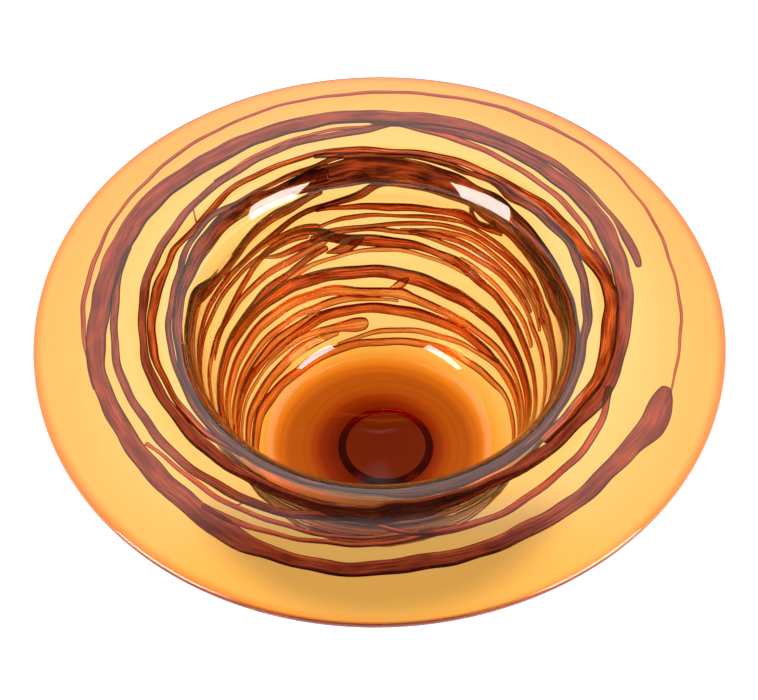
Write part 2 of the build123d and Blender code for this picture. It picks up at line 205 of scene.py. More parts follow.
# %% The bowl
inside_heel = (heel_radius - 0.8 * heel_thickness, heel_height)
floor_turning = (foot_radius + floor_turn, base_thickness - floor_sag)
bevel_start = (pontil_radius - pontil_bevel, pontil_depth - 0.0003)  # the hollow is a little domed
inside = joined(
    flowing_curve((edge_radius, rim_top_height), (-0.055, 0.0154),
                  (crest_radius, bowl_height), (-0.055, 0), 70),
    round_arc((crest_radius, bend_height), bend_radius, 90, 180, 50),
    flowing_curve((throat_radius, bend_height), (0, -0.062), inside_heel, (-0.012, -0.067), 90),
    flowing_curve(inside_heel, (-0.0038, -0.021), floor_turning, (-0.010, -0.0035), 30),
    flowing_curve(floor_turning, (-0.028, -0.0098), (0.0005, base_thickness), (-0.046, 0.001), 40),
)
underneath = joined(
    flowing_curve((0.0005, pontil_depth), (0.010, 0), bevel_start, (0.012, -0.0006), 14),
    flowing_curve(bevel_start, (0.003, -0.0008), (pontil_radius, 0), (0.003, -0.0016), 8),
    flowing_curve((pontil_radius, 0), (0.026, 0), (foot_radius, 0), (0.026, 0), 12),
)
rim_edge = round_arc((edge_radius, (rim_under_height + rim_top_height) / 2), rim_thickness / 2, -90, 90, 13)
rim_edge[:, 0] = edge_radius + (rim_edge[:, 0] - edge_radius) * rim_rounding / (rim_thickness / 2)
outline = joined(underneath, outside[::2], rim_edge, inside)
around = 440
turn = np.linspace(0, 2 * np.pi, around, endpoint=False)
grid = by_hand(outline[:, None, 0], turn[None, :], outline[:, None, 1])
hollow_rows = len(underneath) - 4  # the last few rows are the foot's edge, which stays round
shift_fades, shift_fade = 0.040, 0.012  # the shift is gone at this radius, and fades over this width
pontil_reach = np.clip((shift_fades - outline[:hollow_rows, 0]) / shift_fade, 0, 1)
grid[:hollow_rows, :, 0] += pontil_shift * pontil_reach[:, None]
bowl = grid_mesh("amber_bowl", grid, (pontil_shift, 0, pontil_depth), (0, 0, base_thickness))
print("bowl:", len(bowl.data.polygons), "faces,", len(outline), "points in its outline")

# %% [markdown]
# ## Threads laid on the outside
#
# A thread's route is drawn on the unrolled outside: an angle round the bowl, and a share of the run
# from the foot to the rim's edge. Each stop below gives the angle and the thread's two edges, in
# percent of the run, chosen to follow the real windings. Between stops the route is a smooth
# curve. The thread's section is a flattened dome standing on the glass and sunk a little into it, so
# threads that run into each other melt into one shape.

# %% How a thread is laid
thread_sink = 0.00025  # how deep a thread reaches into the wall
section_points = 22
thread_step = 0.0013  # distance between two sections along a thread


def outside_at(share):
    """Radius and height on the outside at a share of the run, and the outward direction there."""
    along = np.clip(share, 0, 1) * run_length
    radius = np.interp(along, run_lengths, outside[:, 0])
    height = np.interp(along, run_lengths, outside[:, 1])
    step = 0.0008
    ahead = np.clip(along + step, 0, run_length)
    behind = np.clip(along - step, 0, run_length)
    slope_r = np.interp(ahead, run_lengths, outside[:, 0]) - np.interp(behind, run_lengths, outside[:, 0])
    slope_z = np.interp(ahead, run_lengths, outside[:, 1]) - np.interp(behind, run_lengths, outside[:, 1])
    length = np.hypot(slope_r, slope_z)
    return radius, height, slope_z / length, -slope_r / length


def smooth_through(stops, count):
    """A smooth curve through the stops (a Catmull-Rom spline), sampled evenly between them."""
    stops = np.asarray(stops, float)
    before = np.vstack([2 * stops[0] - stops[1], stops, 2 * stops[-1] - stops[-2]])
    place = np.linspace(0, len(stops) - 1 - 1e-9, count)
    index = place.astype(int)
    t = (place - index)[:, None]
    p0, p1, p2, p3 = (before[index + k] for k in range(4))
    return 0.5 * (2 * p1 + (p2 - p0) * t + (2 * p0 - 5 * p1 + 4 * p2 - p3) * t**2
                  + (3 * p1 - p0 - 3 * p2 + p3) * t**3)


def lay_thread(name, stops, relief, boxiness, seed):
    """A thread through stops of (angle, share in percent, width in metres). Its section is
    |across|^boxiness + (proud / relief)^2 = 1 above the wall, and a shallow bowl below it, and both
    ends are rounded off like a drop's. A thread whose end stops are narrow is drawn out to a point."""
    route = smooth_through(stops, 60 * len(stops))
    angle = np.radians(route[:, 0])
    share = route[:, 1] / 100
    radius, height, _, _ = outside_at(share)
    way = np.stack([radius * np.cos(angle), radius * np.sin(angle), height], -1)
    travelled = np.r_[0, np.cumsum(np.linalg.norm(np.diff(way, axis=0), axis=1))]
    length = travelled[-1]
    tip = 0.6 * np.maximum(0.5 * np.interp([0, length], travelled, route[:, 2]), 0.0004)
    tip_steps = np.linspace(0, 1, 8)[1:] ** 2
    body = np.linspace(tip[0], length - tip[1], max(8, int(length / thread_step)))
    along = np.r_[tip[0] * tip_steps[:-1], body, (length - tip[1] * tip_steps[:-1])[::-1]]
    angle, share, width = (np.interp(along, travelled, values) for values in (angle, share, route[:, 2]))
    drawn = np.random.default_rng(seed)
    for wavelength, strength in ((0.045, 0.035), (0.019, 0.022)):
        width = width * (1 + strength * np.sin(along / wavelength * 2 * np.pi + drawn.uniform(0, 6.28)))
        sway = strength * 0.00035 / 0.035 / run_length
        share = share + sway * np.sin(along / wavelength * 5 + drawn.uniform(0, 6.28))
    start_round = np.clip(along / tip[0], 0, 1)
    end_round = np.clip((length - along) / tip[1], 0, 1)
    rounding = np.sqrt(1 - (1 - start_round) ** 2) * np.sqrt(1 - (1 - end_round) ** 2)
    half_width = np.maximum(0.5 * width * rounding, 0.00002)
    proud = np.minimum(relief, 0.40 * width) * np.sqrt(np.maximum(rounding, 0.0004))

    radius, _, _, _ = outside_at(share)
    travel_angle = np.gradient(angle, along) * radius
    travel_share = np.gradient(share, along) * run_length
    speed = np.hypot(travel_angle, travel_share)
    travel_angle, travel_share = travel_angle / speed, travel_share / speed

    section = np.linspace(0, 2 * np.pi, section_points, endpoint=False)
    across = np.sign(np.cos(section)) * np.abs(np.cos(section)) ** (2 / boxiness)
    rise = np.where(np.sin(section) >= 0, np.abs(np.sin(section)), 0)
    sink = np.where(np.sin(section) < 0, np.abs(np.sin(section)) ** 0.5, 0)
    side = half_width[:, None] * across[None, :]
    point_share = share[:, None] + side * travel_angle[:, None] / run_length
    point_radius, point_height, out_r, out_z = outside_at(point_share)
    point_angle = angle[:, None] - side * travel_share[:, None] / np.maximum(point_radius, 0.02)
    lift = proud[:, None] * rise[None, :] - thread_sink * rounding[:, None] * sink[None, :]
    points = by_hand(point_radius + out_r * lift, point_angle, point_height + out_z * lift)
    start_pole = points[0].mean(0)
    end_pole = points[-1].mean(0)
    v = np.r_[np.linspace(0, 1, section_points), 1.0] * 0.02
    uv = np.stack(np.broadcast_arrays(along[:, None], v[None, :]), -1)
    piece = grid_mesh(name, points, start_pole, end_pole, uv)
    print(name, "length", round(length * 1000), "mm,", len(piece.data.polygons), "faces")
    return piece


def between_edges(edges):
    """(angle, lower edge, upper edge) stops as (angle, middle, width in metres)."""
    edges = np.asarray(edges, float)
    angle, lower, upper = edges.T
    return np.c_[angle, (lower + upper) / 2, (upper - lower) / 100 * run_length]


# %% [markdown]
# ## Where the threads run
#
# The routes are lists of stops, region by region. Angles are counted from the right-hand side
# towards the far side, and go past 360 degrees where a thread winds on.

# %% Routes of the threads under the rim
rim_threads = {
    "rim_hair_trail": [
        (-20, 87.3, 87.9), (-15, 87.9, 88.5), (-10, 88.1, 88.8), (-3, 88.4, 89.2), (3, 88.8, 89.7),
        (10, 89.7, 90.4), (20, 90.7, 91.6), (30, 92.2, 93.0), (40, 93.6, 94.4), (50, 94.3, 95.3),
        (58, 94.2, 95.5), (66, 94.1, 95.4), (75, 93.8, 94.9), (85, 93.1, 94.3), (92, 92.8, 94.0),
        (105, 92.7, 93.7), (120, 92.0, 93.0), (130, 91.2, 92.3), (140, 90.5, 91.6), (150, 89.8, 90.7),
        (160, 89.0, 90.1), (170, 88.0, 89.4), (178, 87.3, 88.6), (184, 86.9, 88.0), (190, 86.4, 87.2),
        (197, 86.0, 86.6),
    ],
    "rim_broad_trail": [
        (14, 81.0, 82.3), (15, 80.7, 82.6), (18, 80.4, 83.1), (22, 80.6, 83.3), (26, 81.3, 83.1),
        (30, 81.9, 83.1), (36, 82.0, 83.4), (42, 81.9, 83.6), (48, 81.4, 83.8), (60, 81.0, 84.2),
        (68, 80.4, 84.5), (74, 80.0, 85.0), (80, 79.4, 85.1), (86, 79.2, 84.6), (92, 79.3, 84.8),
        (98, 79.8, 85.4), (103, 80.0, 85.7), (110, 80.0, 85.9), (118, 79.8, 85.8), (124, 79.7, 86.0),
        (130, 79.8, 86.2), (138, 80.3, 86.8), (146, 80.9, 87.3), (153, 81.1, 87.5), (160, 81.0, 87.1),
        (168, 80.6, 86.5), (176, 80.9, 86.5), (183, 81.6, 86.8), (190, 82.2, 87.0), (197, 82.3, 86.6),
        (205, 82.0, 86.3), (212, 81.5, 86.2), (218, 81.3, 86.3), (224, 81.7, 86.6), (230, 82.0, 87.1),
        (236, 82.3, 87.7), (241, 82.9, 88.2), (246, 84.1, 88.4), (252, 84.9, 88.5), (259, 85.1, 88.5),
        (266, 84.8, 88.4), (273, 84.0, 88.0), (282, 83.6, 87.5), (290, 83.4, 87.3), (300, 83.1, 87.1),
        (310, 82.9, 87.0), (320, 82.9, 87.0), (327, 83.1, 88.0), (331, 83.4, 89.0), (334, 83.6, 89.9),
        (337, 83.8, 90.2), (340, 84.2, 89.7), (342.5, 84.9, 88.9), (344, 86.0, 88.0),
    ],
    "neck_rising_trail": [
        (-274, 78.6, 79.8), (-270, 76.9, 79.0), (-267, 75.8, 78.0), (-262, 75.0, 77.3), (-255, 74.8, 77.0),
        (-248, 74.5, 76.5), (-240, 74.2, 76.3), (-232, 73.6, 75.9), (-224, 73.1, 75.3),
        (-216, 72.8, 75.0), (-208, 72.6, 74.9), (-198, 72.2, 74.7), (-188, 71.9, 74.3),
        (-180, 71.8, 74.0), (-172, 71.7, 73.7), (-165, 71.3, 73.6), (-157, 70.7, 73.4),
        (-148, 70.2, 73.0), (-140, 69.6, 72.8), (-134, 69.2, 72.6), (-126, 69.6, 72.6),
        (-118, 69.9, 72.8), (-108, 70.1, 72.9), (-104, 70.2, 73.2), (-99, 70.4, 74.6),
        (-94, 70.4, 75.2), (-90, 70.2, 75.5), (-86, 69.0, 75.0), (-80, 68.9, 74.4), (-74, 68.9, 73.2),
        (-66, 69.0, 72.3), (-58, 69.0, 72.2), (-50, 68.9, 72.3), (-42, 69.3, 72.5), (-36, 69.7, 73.0),
        (-30, 70.2, 73.9), (-25, 70.8, 74.9), (-18, 71.6, 75.0), (-10, 72.2, 75.7), (-3, 72.8, 76.5),
        (5, 73.4, 77.6), (12, 73.9, 78.6), (20, 74.9, 79.7), (26, 75.6, 80.9), (34, 76.1, 81.3),
        (42, 76.5, 81.4), (50, 76.9, 81.4), (60, 77.4, 81.4), (68, 77.6, 81.2), (76, 77.8, 81.0),
        (83, 78.1, 80.5), (88, 78.3, 80.0), (92, 78.9, 79.8),
    ],
    "right_branch_trail": [
        (8, 72.6, 73.4), (14, 72.4, 74.0), (20, 72.6, 74.2), (28, 72.8, 74.4), (36, 73.0, 74.8),
        (44, 73.5, 75.2), (52, 73.9, 75.6), (60, 74.4, 76.1), (66, 74.8, 76.8), (71, 75.5, 77.7),
        (76, 76.4, 78.5), (82, 77.6, 79.2), (88, 78.6, 79.6),
    ],
    "back_parallel_trail": [
        (88, 78.2, 79.2), (93, 77.8, 78.7), (98, 77.6, 78.7), (104, 77.2, 78.3), (110, 76.9, 77.9),
        (117, 76.6, 77.6), (123, 76.0, 77.0), (128, 75.3, 76.2), (134, 74.8, 75.7),
    ],
    "left_branch_trail": [
        (233, 82.2, 83.8), (238, 81.9, 83.7), (242, 81.3, 82.9), (247, 81.1, 82.4), (254, 80.9, 82.1),
        (262, 80.1, 81.4), (270, 79.5, 80.9), (275, 78.9, 80.3), (279, 78.2, 80.0), (285, 77.9, 79.8),
        (294, 77.8, 79.6), (300, 77.4, 79.3), (310, 76.6, 78.5), (320, 75.9, 77.8), (328, 75.3, 77.1),
        (332, 74.7, 76.5), (335, 73.9, 75.8), (339, 73.0, 75.0),
    ],
    "left_fine_trail": [
        (214, 80.4, 81.6), (216, 80.0, 81.0), (219, 79.5, 80.5), (223, 79.1, 80.2), (228, 78.8, 80.1),
        (236, 78.5, 79.9), (244, 78.4, 79.7), (254, 78.5, 79.7), (262, 78.4, 79.6), (270, 77.9, 79.2),
        (275, 77.8, 78.9), (280, 78.0, 79.0),
    ],
    "left_long_trail": [
        (160, 80.7, 82.0), (166, 80.3, 81.9), (171, 79.5, 81.3), (177, 79.0, 81.1), (184, 78.8, 80.8),
        (192, 78.5, 80.5), (200, 78.0, 80.1), (210, 77.2, 79.4), (220, 76.5, 78.8), (230, 76.0, 78.3),
        (240, 75.4, 77.8), (247, 74.9, 77.1), (253, 74.1, 76.4), (258, 73.2, 75.7), (263, 72.8, 75.0),
        (268, 72.8, 74.8),
    ],
}

# %% Routes of the threads round the neck
neck_threads = {
    "neck_upper_trail": [
        (-44, 66.8, 69.8), (-36, 67.2, 70.2), (-28, 67.7, 70.8), (-20, 68.9, 71.9), (-14, 69.1, 72.5),
        (-8, 68.9, 73.0), (-2, 69.4, 73.2), (4, 70.0, 73.6), (10, 70.1, 73.7), (15, 69.2, 73.2),
        (20, 68.4, 72.6), (25, 68.0, 71.6), (32, 67.8, 71.1), (40, 67.5, 70.8), (47, 67.3, 70.1),
        (54, 67.8, 69.9), (62, 68.1, 70.0), (75, 68.2, 70.1), (88, 68.2, 70.1), (95, 68.6, 70.6),
        (101, 69.1, 70.9), (106, 69.5, 71.1), (112, 69.7, 71.3), (122, 69.6, 71.2), (132, 69.5, 71.2),
        (137, 69.0, 70.9), (142, 68.5, 70.2), (148, 68.3, 70.0), (154, 68.8, 70.4), (158, 69.0, 70.9),
        (163, 68.8, 70.6), (168, 68.7, 71.2), (175, 69.2, 71.7), (183, 69.3, 71.6), (190, 69.2, 71.4),
        (198, 69.1, 70.7), (206, 68.8, 70.4), (214, 68.0, 70.0), (220, 67.4, 69.2), (226, 66.7, 68.2),
        (232, 66.0, 67.4),
    ],
    "neck_ring_trail": [
        (-260, 67.6, 68.9), (-256, 67.2, 68.6), (-251, 66.2, 67.7), (-243, 65.6, 67.0),
        (-232, 65.6, 66.9), (-226, 66.0, 67.4), (-221, 66.9, 68.4), (-215, 67.3, 69.0),
        (-208, 66.9, 68.4), (-200, 66.4, 68.0), (-195, 65.7, 67.4), (-180, 65.4, 67.0),
        (-165, 65.4, 66.9), (-150, 65.3, 66.9), (-140, 65.6, 67.2), (-130, 65.3, 67.2),
        (-118, 64.8, 66.8), (-105, 64.7, 66.7), (-92, 64.9, 67.0), (-85, 65.6, 68.2),
        (-75, 65.6, 68.6), (-60, 65.4, 68.2), (-50, 65.2, 67.6), (-40, 64.9, 67.0), (-34, 64.6, 66.7),
        (-25, 64.2, 66.3), (-15, 63.9, 65.8), (-8, 63.8, 65.8), (-4, 64.0, 66.6), (0, 64.6, 67.2),
        (6, 65.0, 67.4), (14, 65.6, 67.7), (20, 66.0, 68.3), (26, 66.8, 68.8), (32, 66.6, 68.6),
        (40, 66.1, 68.1), (46, 65.5, 67.6), (50, 65.0, 67.2), (54, 66.0, 67.9), (58, 66.8, 68.4),
        (63, 66.7, 68.2), (66, 66.4, 68.2), (72, 67.0, 68.6), (85, 67.2, 68.5), (97, 67.5, 69.0),
        (103, 68.2, 69.6), (108, 68.9, 70.2),
    ],
    "neck_band_trail": [
        (-255, 62.5, 66.0), (-245, 62.2, 65.8), (-235, 62.4, 65.7), (-225, 62.7, 66.6),
        (-210, 62.8, 66.9), (-195, 62.7, 66.0), (-180, 62.6, 65.4), (-150, 62.0, 65.3),
        (-120, 61.6, 65.0), (-90, 61.2, 65.4), (-60, 61.0, 65.8), (-40, 61.4, 65.2), (-20, 61.2, 64.4),
        (-8, 60.9, 63.9), (0, 60.6, 63.5), (8, 60.0, 62.9), (16, 59.6, 62.4), (24, 59.0, 62.7),
        (32, 59.2, 63.3), (40, 59.6, 63.7), (46, 60.0, 64.3), (52, 60.4, 65.0), (60, 60.4, 65.2),
        (68, 60.3, 66.2), (78, 60.4, 67.0), (90, 60.6, 67.2), (100, 60.4, 67.6), (108, 60.4, 66.8),
        (114, 61.0, 65.8), (118, 61.6, 65.2),
    ],
    "neck_under_trail": [
        (108, 59.6, 61.6), (114, 58.4, 60.8), (120, 57.0, 60.0), (126, 56.4, 59.6), (132, 55.8, 59.1),
        (137, 54.4, 57.8), (141, 52.9, 56.4), (147, 52.2, 55.6), (153, 52.2, 55.6), (157, 52.6, 57.2),
        (161, 54.0, 59.4), (166, 56.4, 61.2), (172, 58.0, 61.6), (190, 58.4, 61.4), (220, 58.2, 61.2),
        (260, 57.8, 61.0), (300, 57.2, 60.8), (340, 56.0, 60.4), (366, 53.0, 60.0), (378, 50.6, 59.6),
        (384, 51.8, 59.8), (390, 53.6, 60.0), (396, 55.2, 60.2), (402, 56.3, 60.4), (408, 56.6, 60.6),
        (415, 57.4, 60.7), (422, 59.2, 61.0), (435, 59.4, 61.0), (446, 59.6, 61.0), (450, 59.2, 61.0),
        (453, 58.0, 60.3), (456, 56.4, 59.0), (460, 55.3, 57.6), (465, 54.6, 56.6), (470, 54.4, 56.4),
        (474, 54.0, 56.0), (479, 52.8, 55.0), (484, 51.6, 53.8), (490, 50.9, 52.6), (497, 50.6, 51.9),
        (503, 50.2, 51.4),
    ],
}

# %% Routes of the threads on the cup
wall_threads = {
    "wall_curl_trail": [
        (47, 55.4, 56.8), (52, 53.9, 56.4), (57, 53.4, 56.0), (62, 53.4, 56.5), (66, 53.2, 55.8),
        (72, 52.6, 55.0), (80, 51.8, 54.5), (88, 51.5, 54.1), (96, 51.8, 54.0), (101, 52.4, 54.2),
        (106, 53.2, 55.0), (111, 53.8, 55.6),
    ],
    "wall_upper_trail": [
        (-250, 47.4, 49.8), (-244, 48.6, 51.0), (-236, 49.2, 51.2), (-226, 49.4, 51.3),
        (-216, 49.2, 51.4), (-205, 49.0, 51.4), (-195, 48.8, 51.2), (-150, 48.4, 50.6),
        (-100, 47.6, 49.9), (-50, 46.4, 48.8), (0, 44.6, 46.8), (20, 45.8, 48.2), (25, 47.5, 49.8),
        (30, 49.0, 51.0), (36, 50.0, 51.8), (44, 50.6, 52.2), (52, 51.2, 52.7), (60, 51.8, 53.1),
        (68, 51.2, 52.8), (73, 50.4, 52.0), (80, 49.5, 50.8), (88, 49.0, 50.2), (96, 48.8, 50.4),
        (102, 48.9, 50.4), (106, 48.6, 49.8), (110, 48.0, 49.4),
    ],
    "wall_second_trail": [
        (-246, 45.8, 47.4), (-240, 46.6, 48.4), (-230, 46.9, 48.6), (-215, 46.6, 48.3),
        (-195, 46.4, 48.2), (-150, 46.0, 47.9), (-100, 45.4, 47.3), (-50, 44.4, 46.3), (0, 42.4, 44.3),
        (20, 43.4, 45.6), (25, 45.3, 47.2), (30, 46.2, 48.4), (36, 47.5, 49.6), (44, 48.4, 50.3),
        (52, 49.2, 50.9), (60, 49.6, 51.2), (66, 49.0, 50.6), (72, 48.0, 49.5), (80, 46.8, 48.4),
        (88, 45.8, 47.3), (96, 45.6, 47.0), (103, 45.7, 46.9), (109, 45.8, 47.2),
    ],
    "wall_third_trail": [
        (18, 40.4, 41.9), (20, 41.0, 42.6), (25, 42.6, 44.4), (30, 43.9, 45.6), (36, 45.0, 46.9),
        (44, 46.2, 48.0), (52, 46.9, 48.6), (60, 47.4, 49.0), (66, 46.7, 48.2), (72, 46.2, 47.5),
        (78, 45.4, 46.6), (83, 44.9, 45.9),
    ],
    "wall_middle_trail": [
        (26, 40.8, 42.2), (32, 42.2, 43.6), (38, 43.3, 44.8), (46, 44.3, 45.8), (54, 44.6, 46.4),
        (62, 44.8, 46.6), (70, 44.6, 46.8), (76, 44.0, 46.2), (82, 44.0, 45.6), (90, 44.2, 45.8),
        (98, 44.4, 45.8), (105, 44.4, 46.0), (110, 44.0, 46.0),
    ],
    "wall_crossing_trail": [
        (-252, 42.6, 44.4), (-247, 41.6, 43.6), (-240, 40.4, 42.8), (-230, 40.0, 42.2),
        (-218, 39.8, 41.8), (-205, 39.6, 41.6), (-190, 39.4, 41.4), (-150, 39.0, 41.0),
        (-100, 38.4, 40.4), (-50, 37.6, 39.6), (0, 36.7, 38.6), (20, 38.0, 40.0), (26, 39.4, 41.2),
        (32, 40.4, 42.0), (40, 41.6, 43.2), (48, 42.0, 43.8), (56, 42.4, 44.2), (64, 42.9, 44.5),
        (70, 43.4, 44.8), (76, 43.6, 44.9), (80, 43.9, 45.1),
    ],
    "wall_slip_trail": [
        (18, 33.8, 35.4), (20, 34.4, 36.2), (26, 35.7, 37.4), (34, 37.0, 38.7), (42, 38.0, 39.6),
        (49, 39.0, 40.6), (55, 39.6, 41.0), (61, 40.0, 41.2),
    ],
    "wall_climbing_trail": [
        (-25, 29.6, 31.8), (-12, 29.7, 31.9), (0, 30.0, 32.0), (14, 30.6, 32.8), (20, 31.0, 33.6),
        (27, 31.8, 34.2), (34, 33.0, 35.6), (42, 34.6, 37.2), (50, 35.6, 38.2), (56, 36.8, 40.0),
        (62, 38.0, 40.9), (70, 38.8, 41.2), (78, 39.2, 42.0), (86, 39.4, 42.8), (94, 39.8, 43.6),
        (100, 40.6, 44.2), (105, 42.0, 45.0), (110, 43.4, 45.8), (114, 44.0, 46.2),
    ],
    "wall_parallel_trail": [
        (56, 36.6, 38.0), (64, 37.0, 38.4), (72, 37.4, 38.7), (80, 37.7, 39.0), (88, 37.9, 39.5),
        (96, 37.8, 39.2), (104, 37.3, 38.6), (112, 36.6, 38.0), (118, 35.8, 37.6), (125, 35.2, 36.8),
        (131, 34.8, 36.2),
    ],
    "wall_knot_trail": [
        (108, 40.6, 42.4), (113, 39.4, 41.6), (118, 38.0, 40.2), (124, 36.6, 38.8), (130, 35.6, 38.2),
        (136, 35.0, 37.8), (142, 34.6, 37.0), (150, 34.4, 36.4), (158, 34.2, 36.4),
    ],
    "wall_broad_trail": [
        (-20, 22.8, 26.0), (0, 23.6, 27.4), (10, 24.2, 28.0), (20, 24.8, 28.6), (30, 25.6, 29.6),
        (36, 26.0, 30.0), (42, 26.2, 30.4), (50, 26.6, 30.8), (60, 27.0, 31.6), (70, 27.5, 32.2),
        (78, 28.0, 32.8), (83, 28.8, 33.2), (88, 29.4, 33.4), (96, 29.9, 33.9), (104, 30.2, 34.4),
        (112, 30.6, 35.0), (120, 31.0, 35.4), (128, 31.4, 36.0), (136, 31.9, 36.2), (144, 31.8, 36.0),
        (152, 31.6, 35.8), (160, 31.4, 35.6), (180, 31.0, 35.0), (220, 30.6, 34.2), (260, 30.4, 33.6),
        (300, 29.8, 32.8), (340, 29.6, 31.8),
    ],
    "wall_swelling_trail": [
        (-20, 20.5, 22.0), (0, 21.0, 22.8), (20, 21.4, 23.0), (30, 21.4, 23.6), (40, 21.2, 23.5),
        (50, 20.9, 23.4), (56, 20.6, 23.2), (62, 21.0, 23.6), (70, 21.4, 24.2), (76, 22.2, 25.4),
        (81, 23.2, 27.0), (86, 23.6, 26.6), (92, 23.3, 26.4), (98, 23.6, 26.8), (104, 24.6, 28.0),
        (110, 25.7, 29.0), (118, 26.6, 29.6), (126, 26.9, 30.2), (136, 26.8, 30.4), (146, 26.4, 30.1),
        (160, 25.9, 29.4), (200, 25.6, 28.4), (250, 26.0, 28.8), (300, 26.8, 28.8), (332, 27.4, 28.6),
    ],
    "wall_light_trail": [
        (82, 21.9, 23.0), (90, 22.1, 23.4), (98, 22.4, 24.6), (106, 22.3, 24.8), (113, 22.2, 24.9),
        (118, 22.1, 24.6), (122, 22.6, 24.9), (128, 22.9, 25.0), (138, 22.6, 24.8), (150, 22.0, 24.4),
        (162, 21.6, 24.0), (200, 21.4, 23.4), (250, 21.8, 23.6), (300, 22.2, 23.6), (315, 22.4, 23.4),
    ],
    "wall_heel_trail": [
        (31, 19.2, 20.4), (34, 18.0, 19.8), (38, 17.2, 19.9), (44, 16.9, 20.0), (52, 16.8, 20.3),
        (60, 16.8, 20.5), (70, 17.0, 20.8), (80, 17.3, 21.0), (90, 17.6, 21.2), (100, 17.8, 21.3),
        (108, 17.9, 21.5), (115, 17.9, 21.7), (120, 17.3, 21.0), (126, 16.9, 20.0), (134, 16.8, 19.2),
        (144, 16.6, 18.7), (152, 16.8, 19.6), (160, 17.4, 21.0), (200, 17.6, 20.6), (250, 18.4, 21.0),
        (300, 19.4, 21.6), (335, 20.2, 21.9),
    ],
    "start_trail": [
        (94.5, 13.2, 15.8), (97, 12.6, 16.6), (101, 12.4, 16.9), (106, 12.9, 16.4), (111, 13.4, 16.2),
        (116, 14.2, 16.6), (122, 14.6, 16.8), (130, 14.7, 16.7), (140, 14.8, 16.5), (150, 14.9, 16.4),
        (160, 14.9, 16.4), (200, 14.6, 16.6), (250, 14.9, 16.9), (300, 16.0, 18.0), (340, 16.9, 19.0),
        (360, 16.9, 19.5), (372, 17.0, 20.2), (380, 16.9, 20.6), (386, 16.8, 20.0), (391, 16.3, 19.4),
        (396, 15.6, 18.2), (402, 14.9, 16.8), (410, 14.2, 16.0), (418, 13.6, 15.4), (426, 12.9, 14.7),
        (434, 12.2, 14.0), (442, 11.5, 13.2), (450, 10.8, 12.4), (457, 10.2, 11.5), (464, 9.6, 10.8),
        (470, 9.3, 10.2),
    ],
    "low_parallel_trail": [
        (108, 12.2, 13.6), (114, 11.7, 14.0), (120, 11.3, 14.2), (128, 10.8, 14.0), (138, 10.4, 13.6),
        (148, 10.2, 13.3), (160, 10.3, 13.2), (200, 11.6, 13.2), (235, 12.8, 13.6),
    ],
    "lowest_trail": [
        (-90, 13.3, 14.3), (-60, 13.2, 14.8), (-30, 13.3, 15.1), (0, 13.0, 14.8), (20, 12.6, 14.4),
        (30, 11.4, 13.6), (40, 10.6, 12.8), (50, 10.0, 12.2), (60, 9.3, 11.6), (70, 8.7, 11.0),
        (80, 8.2, 10.4), (90, 7.7, 10.0), (100, 7.2, 9.7), (108, 6.9, 9.5), (116, 6.6, 9.3),
        (124, 6.4, 9.2), (132, 6.3, 9.2), (142, 6.4, 9.3), (152, 6.5, 9.6), (160, 6.8, 10.0),
        (200, 8.2, 10.6), (240, 9.6, 11.6), (280, 10.4, 12.0), (312, 11.2, 12.0),
    ],
}

# %% [markdown]
# ## Short strands
#
# Where hot threads touched, thin strands join them, and several cross in a knot at the far left of
# the cup. These stops are an angle, a share of the run and a width.

# %% Short strands, links and loops between the threads
# A strand's route may turn any way, so its stops are (angle, share in percent, width in metres).
strands = {
    "left_link": [
        (-93, 74.6, 0.0016), (-90, 75.4, 0.0024), (-86.5, 76.9, 0.0028), (-83, 78.0, 0.0024),
        (-78.5, 78.6, 0.0022),
    ],
    "neck_curl": [
        (50.5, 59.2, 0.0032), (51.2, 57.2, 0.0030), (53.0, 55.7, 0.0026), (55.4, 55.1, 0.0024),
        (57.8, 55.8, 0.0026), (59.2, 57.6, 0.0028), (59.4, 59.4, 0.0030),
    ],
    "knot_diagonal": [
        (103, 43.6, 0.0010), (106, 45.0, 0.0040), (109, 46.6, 0.0046), (114, 48.0, 0.0046),
        (121, 48.8, 0.0044),
        (129, 48.0, 0.0044), (136, 46.4, 0.0042), (142, 44.2, 0.0040), (148, 42.2, 0.0040),
        (156, 40.6, 0.0040), (164, 39.6, 0.0034), (172, 38.8, 0.0010),
    ],
    "knot_cross": [
        (106, 45.8, 0.0010), (110, 45.0, 0.0036), (113, 44.2, 0.0044), (119, 43.9, 0.0044),
        (125, 44.6, 0.0034), (129, 45.8, 0.0022), (132, 47.0, 0.0008),
    ],
    "knot_rise": [
        (99, 42.4, 0.0010), (103, 43.4, 0.0044), (106, 44.6, 0.0046), (109, 46.2, 0.0038),
        (112, 48.4, 0.0010),
    ],
    "knot_drop": [
        (95, 43.0, 0.0010), (98, 41.6, 0.0056), (101, 40.6, 0.0066), (104, 40.0, 0.0052),
        (109, 39.6, 0.0010),
    ],
    "bridge_back": [(144, 73.2, 0.0009), (145.5, 71.6, 0.0008), (147, 70.0, 0.0009)],
    "bridge_front": [(239, 78.6, 0.0009), (240, 77.2, 0.0008)],
    "swelling_bridge": [
        (86.0, 26.4, 0.0010), (84.0, 26.9, 0.0036), (82.0, 27.8, 0.0052), (80.4, 29.0, 0.0046),
        (78.6, 30.2, 0.0010),
    ],
    "heel_strand": [
        (110, 20.9, 0.0016), (114, 21.4, 0.0026), (118, 21.5, 0.0036), (126, 20.8, 0.0046),
        (136, 20.5, 0.0050), (146, 20.0, 0.0052), (156, 19.7, 0.0056), (166, 19.6, 0.0040),
    ],
}

# %% [markdown]
# ## Laying every thread
#
# Threads under the rim were pressed flat, so they stand less proud and their section is boxier. On
# the cup they are rounder. Each thread has its own seed, so its small swellings differ.

